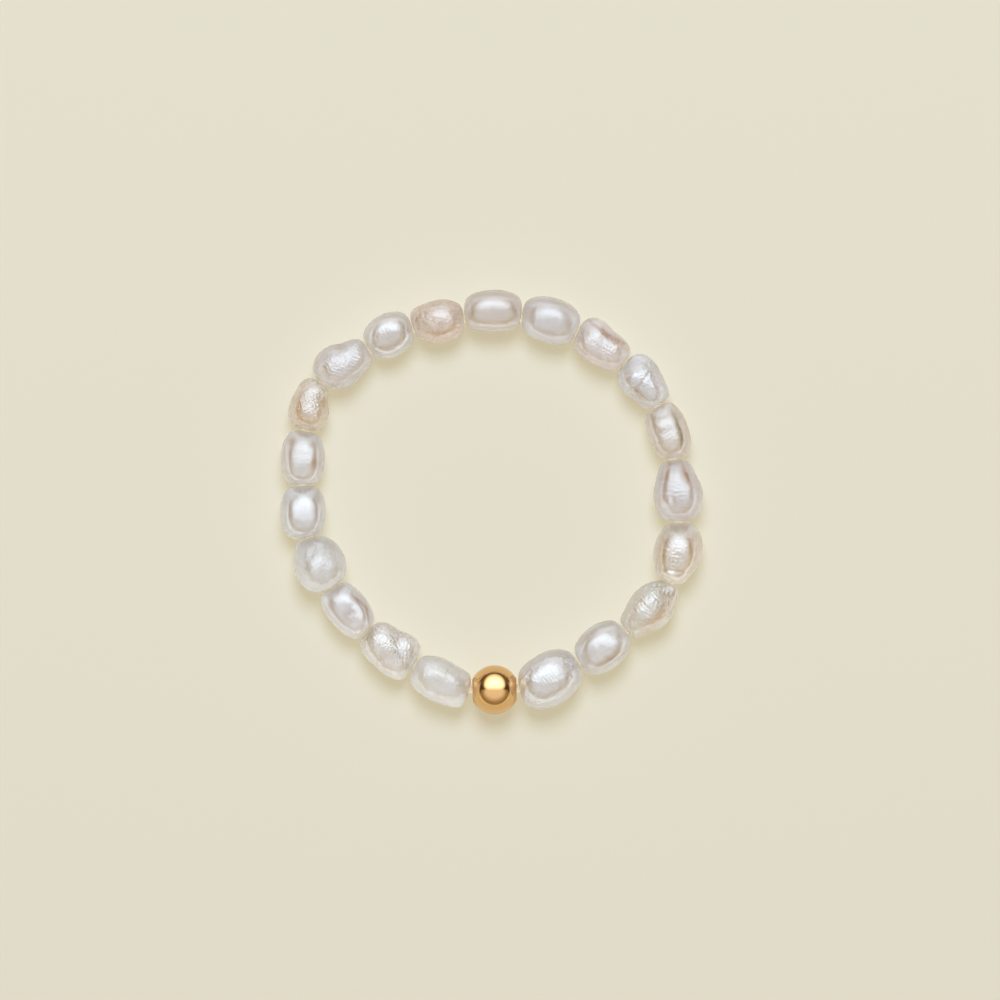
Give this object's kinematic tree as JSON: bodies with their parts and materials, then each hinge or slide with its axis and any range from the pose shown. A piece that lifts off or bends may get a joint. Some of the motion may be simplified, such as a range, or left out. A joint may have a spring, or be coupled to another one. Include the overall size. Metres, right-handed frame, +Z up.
{
  "type": "pearl stretch ring",
  "caption": "Finger ring of drilled rice pearls in soft white, cream and peach nacre with a small polished gold bead, strung on clear stretch elastic and lying flat.",
  "frame": {"origin": "middle of the ring's underside, where it lies on a table", "axes": "+Z up through the finger opening; the gold bead lies towards -Y"},
  "size_m": [0.0214, 0.0216, 0.0025],
  "materials": {
    "nacre_white": "white freshwater pearl nacre, satin to bright lustre",
    "nacre_silver": "silvery white freshwater pearl nacre, bright wrinkled lustre",
    "nacre_cream": "cream freshwater pearl nacre, bright lobed lustre",
    "nacre_peach": "peach freshwater pearl nacre, finely wrinkled lustre",
    "polished_gold": "polished warm yellow gold",
    "clear_elastic": "clear stretch bead elastic"
  },
  "bodies": {
    "root": {"gold_bead": "polished_gold", "pearl_01": "nacre_white", "pearl_02": "nacre_white", "pearl_03": "nacre_cream", "pearl_04": "nacre_cream", "pearl_05": "nacre_silver", "pearl_06": "nacre_silver", "pearl_07": "nacre_silver", "pearl_08": "nacre_silver", "pearl_09": "nacre_silver", "pearl_10": "nacre_white", "pearl_11": "nacre_peach", "pearl_12": "nacre_white", "pearl_13": "nacre_silver", "pearl_14": "nacre_peach", "pearl_15": "nacre_white", "pearl_16": "nacre_white", "pearl_17": "nacre_silver", "pearl_18": "nacre_silver", "pearl_19": "nacre_cream", "pearl_20": "nacre_white", "elastic_thread": "clear_elastic"}
  },
  "joints": []
}
